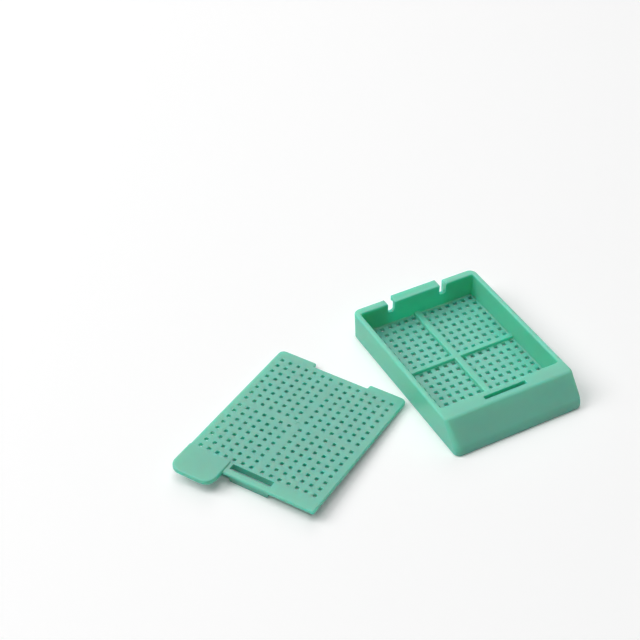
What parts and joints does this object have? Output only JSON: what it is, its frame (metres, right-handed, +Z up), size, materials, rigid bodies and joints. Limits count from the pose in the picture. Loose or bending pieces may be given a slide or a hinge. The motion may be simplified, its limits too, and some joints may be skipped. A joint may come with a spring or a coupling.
{
  "type": "tissue cassette",
  "caption": "Shallow perforated plastic cassette base with a sloped writing face, and its flat perforated clip-on lid with a thumb tab lying beside it.",
  "frame": {"origin": "middle of the perforated floor on the base's flat underside, between its four fields of holes", "axes": "+Z up out of the base, +Y towards the rear wall with the hook, -Y towards the sloped writing face, +X to the base's right; the lid lies on the -X side"},
  "size_m": [0.0759, 0.0414, 0.0064],
  "materials": {
    "base_plastic": "satin moulded acetal, mint green",
    "lid_plastic": "satin moulded acetal, mint green"
  },
  "bodies": {
    "root": {"base": "base_plastic", "lid": "lid_plastic"}
  },
  "joints": []
}
